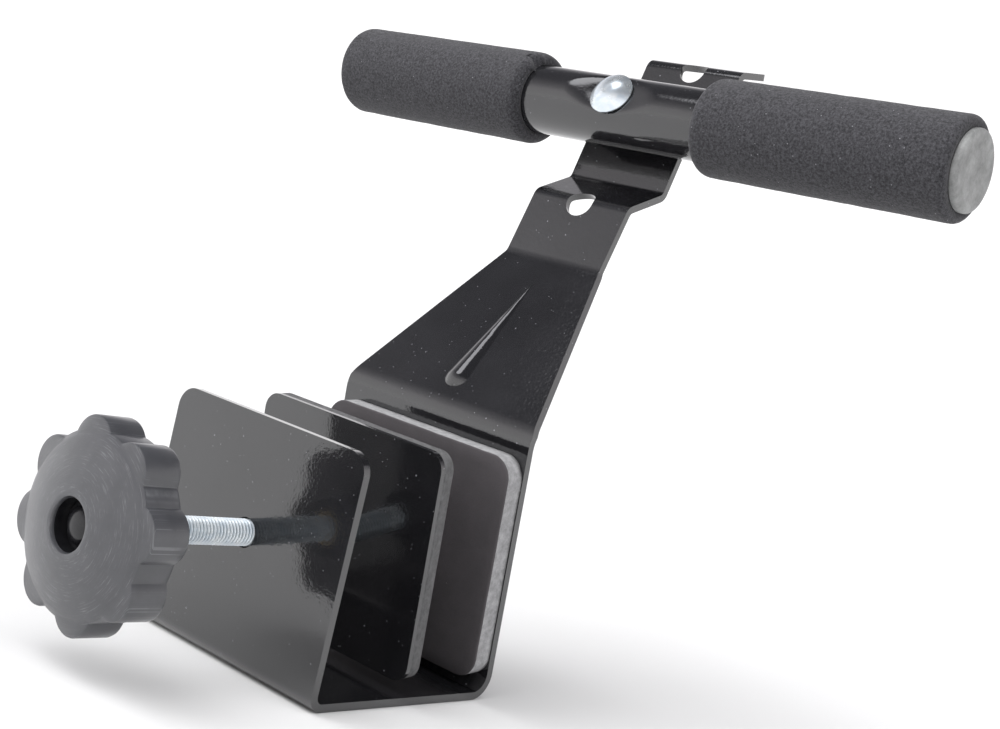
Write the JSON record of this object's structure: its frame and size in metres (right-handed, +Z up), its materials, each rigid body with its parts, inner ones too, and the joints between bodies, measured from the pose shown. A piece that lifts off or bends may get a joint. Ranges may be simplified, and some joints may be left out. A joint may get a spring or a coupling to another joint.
{
  "type": "door clamp sit-up bar",
  "caption": "Padded foot bar on a stepped steel arm that clamps to a board or door foot with a hand screw and padded jaws.",
  "frame": {"origin": "middle of the clamp's flat underside", "axes": "+X along the cross bar, to the right as seen from the knob; +Y from the knob towards the arm; +Z up"},
  "size_m": [0.32, 0.2937, 0.2769],
  "materials": {
    "black_enamel": "glossy black baked enamel over bent steel sheet and tube",
    "zinc_plate": "bright bluish zinc plating",
    "jaw_foam": "dense black foam rubber, matt, paler at its cut edges",
    "grip_foam": "fine-grained dark grey foam sleeve, matt",
    "knob_plastic": "satin dark grey moulded plastic",
    "cap_plastic": "black moulded plastic",
    "end_cap_plastic": "satin black moulded plastic, slightly worn",
    "insert_brass": "turned brass"
  },
  "bodies": {
    "root": {"clamp_frame": "black_enamel", "weld_nut": "black_enamel", "fixed_pad": "jaw_foam", "cross_tube": "black_enamel", "left_grip": "grip_foam", "right_grip": "grip_foam", "left_end_cap": "end_cap_plastic", "right_end_cap": "end_cap_plastic", "bar_bolt": "zinc_plate", "saddle_washer": "zinc_plate", "bar_flat_washer": "zinc_plate", "bar_lock_washer": "zinc_plate", "bar_nut": "zinc_plate"},
    "carriage": {"thrust_washer": "zinc_plate"},
    "spindle": {"clamp_screw": "zinc_plate", "tip_clip": "zinc_plate", "knob": "knob_plastic", "knob_insert": "insert_brass", "knob_cap": "cap_plastic"},
    "jaw_plate": {"pressure_plate": "black_enamel", "moving_pad": "jaw_foam"}
  },
  "joints": [
    {"name": "plate_slide", "type": "slide", "parent": "root", "child": "carriage", "axis": [0, 1, 0], "range_m": [-0.022, 0.023]},
    {"name": "knob_turn", "type": "hinge", "parent": "carriage", "child": "spindle", "pos_m": [0, -0.1, 0.0482], "axis": [0, 1, 0], "range_deg": [-5304, 5544]},
    {"name": "plate_tilt", "type": "hinge", "parent": "carriage", "child": "jaw_plate", "pos_m": [0, -0.00475, 0.0482], "axis": [1, 0, 0], "range_deg": [-7.5, 4]}
  ],
  "couplings": [
    {"joint": "knob_turn", "follows": "plate_slide", "rad_per_m": 4188.8}
  ]
}
